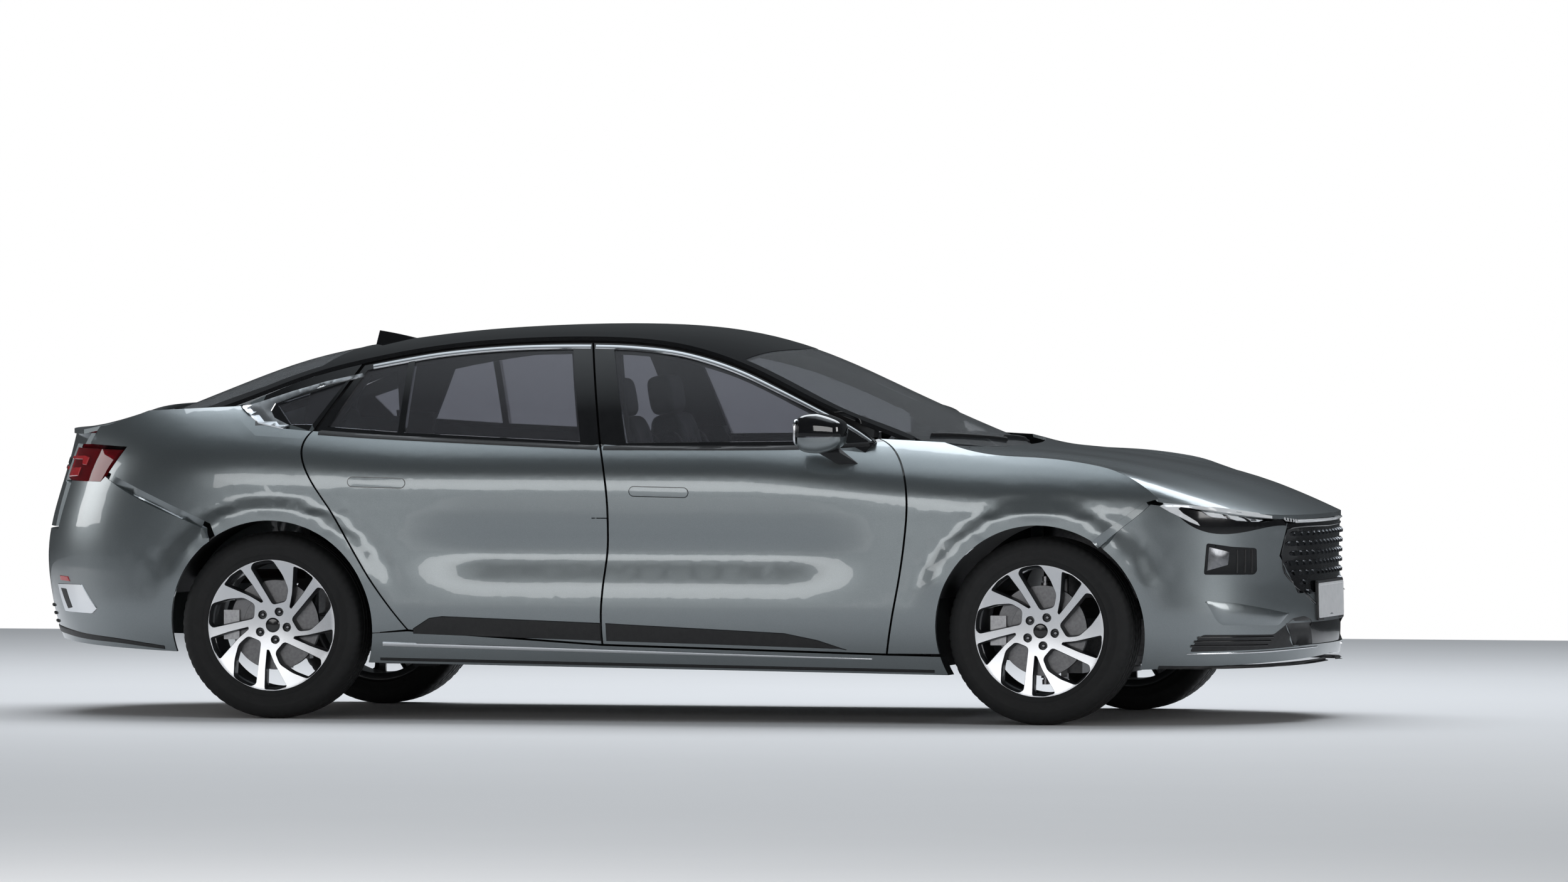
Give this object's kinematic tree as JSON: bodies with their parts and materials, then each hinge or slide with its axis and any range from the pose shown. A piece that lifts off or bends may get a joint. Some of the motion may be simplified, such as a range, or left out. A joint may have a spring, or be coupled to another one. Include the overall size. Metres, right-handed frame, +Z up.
{
  "type": "midsize sedan",
  "caption": "Midsize fastback sedan with opening doors, hood and trunk lid, a hollow cabin with seats, steered front wheels and a low sloping tail.",
  "frame": {"origin": "on the ground, at the middle of the car's length and width", "axes": "+X forward along the car, +Y to the car's left, +Z up"},
  "size_m": [4.9351, 2.03, 1.4713],
  "materials": {
    "body_paint": "metallic blue-grey silver under clear coat",
    "gloss_black": "gloss black",
    "tinted_glass": "dark tint",
    "lamp_clear": "clear lamp cover",
    "lamp_red": "deep red lamp cover",
    "dark_trim": "dark satin",
    "black_plastic": "grained black",
    "cabin_trim": "soft dark trim",
    "cabin_leather": "dark leather",
    "tyre_rubber": "black rubber",
    "wheel_alloy": "machined and dark painted",
    "cast_iron": "bare disc",
    "engine_metal": "cast",
    "steel": "plain",
    "body_shell": "primer grey"
  },
  "bodies": {
    "body": {"antenna": "gloss_black", "cowl": "black_plastic", "dashboard": "cabin_trim", "door_hinges": "steel", "engine": "engine_metal", "fenders": "body_paint", "floor_pan": "body_shell", "front_bumper": "body_paint", "front_seats": "cabin_leather", "front_suspension": "steel", "grille": "dark_trim", "headlamps": "lamp_clear", "hood_hinges": "steel", "lid_hinges": "steel", "quarter_glass": "tinted_glass", "quarter_panels": "body_paint", "rear_axle": "steel", "rear_bench": "cabin_leather", "rear_bumper": "body_paint", "rear_window": "tinted_glass", "roof": "gloss_black", "side_frames": "body_shell", "sills": "body_paint", "tail_lamps": "lamp_red", "wheel_liners": "black_plastic", "windshield": "tinted_glass"},
    "door_front_right": {"door_front_right": "body_paint", "glass_front_right": "tinted_glass", "mirror_right": "gloss_black"},
    "door_front_left": {"door_front_left": "body_paint", "glass_front_left": "tinted_glass", "mirror_left": "gloss_black"},
    "door_rear_right": {"door_rear_right": "body_paint", "glass_rear_right": "tinted_glass"},
    "door_rear_left": {"door_rear_left": "body_paint", "glass_rear_left": "tinted_glass"},
    "hood": {"hood": "body_paint"},
    "trunk_lid": {"trunk_lid": "body_paint"},
    "knuckle_right": {"knuckle_right": "steel"},
    "knuckle_left": {"knuckle_left": "steel"},
    "steering_wheel": {"steering_wheel": "cabin_leather"},
    "wheel_front_right": {"rim_front_right": "wheel_alloy", "tyre_front_right": "tyre_rubber", "brake_disc_front_right": "cast_iron"},
    "wheel_front_left": {"rim_front_left": "wheel_alloy", "tyre_front_left": "tyre_rubber", "brake_disc_front_left": "cast_iron"},
    "wheel_rear_right": {"rim_rear_right": "wheel_alloy", "tyre_rear_right": "tyre_rubber", "brake_disc_rear_right": "cast_iron"},
    "wheel_rear_left": {"rim_rear_left": "wheel_alloy", "tyre_rear_left": "tyre_rubber", "brake_disc_rear_left": "cast_iron"}
  },
  "joints": [
    {"name": "door_front_right_swing", "type": "hinge", "parent": "body", "child": "door_front_right", "pos_m": [0.955, -0.908, 0.6], "axis": [0, 0, 1], "range_deg": [0, 64]},
    {"name": "door_front_left_swing", "type": "hinge", "parent": "body", "child": "door_front_left", "pos_m": [0.955, 0.908, 0.6], "axis": [0, 0, -1], "range_deg": [0, 64]},
    {"name": "door_rear_right_swing", "type": "hinge", "parent": "body", "child": "door_rear_right", "pos_m": [-0.15, -0.908, 0.6], "axis": [0, 0, 1], "range_deg": [0, 66]},
    {"name": "door_rear_left_swing", "type": "hinge", "parent": "body", "child": "door_rear_left", "pos_m": [-0.15, 0.908, 0.6], "axis": [0, 0, -1], "range_deg": [0, 66]},
    {"name": "hood_lift", "type": "hinge", "parent": "body", "child": "hood", "pos_m": [1.224, 0, 1.019], "axis": [0, -1, 0], "range_deg": [0, 50]},
    {"name": "trunk_lid_lift", "type": "hinge", "parent": "body", "child": "trunk_lid", "pos_m": [-1.984, 0, 1.134], "axis": [0, 1, 0], "range_deg": [0, 75]},
    {"name": "steer_right", "type": "hinge", "parent": "body", "child": "knuckle_right", "pos_m": [1.5475, -0.795, 0.35], "axis": [0, 0, 1], "range_deg": [-33, 33]},
    {"name": "steer_left", "type": "hinge", "parent": "body", "child": "knuckle_left", "pos_m": [1.5475, 0.795, 0.35], "axis": [0, 0, 1], "range_deg": [-33, 33]},
    {"name": "steering_wheel_turn", "type": "hinge", "parent": "body", "child": "steering_wheel", "pos_m": [0.63739, 0.37, 0.8824], "axis": [-0.9135, 0, 0.4067], "range_deg": [-462, 462]},
    {"name": "wheel_front_right_spin", "type": "hinge", "parent": "knuckle_right", "child": "wheel_front_right", "pos_m": [1.5475, -0.795, 0.35], "axis": [0, 1, 0], "continuous": true},
    {"name": "wheel_front_left_spin", "type": "hinge", "parent": "knuckle_left", "child": "wheel_front_left", "pos_m": [1.5475, 0.795, 0.35], "axis": [0, 1, 0], "continuous": true},
    {"name": "wheel_rear_right_spin", "type": "hinge", "parent": "body", "child": "wheel_rear_right", "pos_m": [-1.4065, -0.795, 0.35], "axis": [0, 1, 0], "continuous": true},
    {"name": "wheel_rear_left_spin", "type": "hinge", "parent": "body", "child": "wheel_rear_left", "pos_m": [-1.4065, 0.795, 0.35], "axis": [0, 1, 0], "continuous": true}
  ],
  "couplings": [
    {"joint": "steer_left", "follows": "steer_right", "ratio": 1},
    {"joint": "steering_wheel_turn", "follows": "steer_right", "ratio": 14}
  ]
}
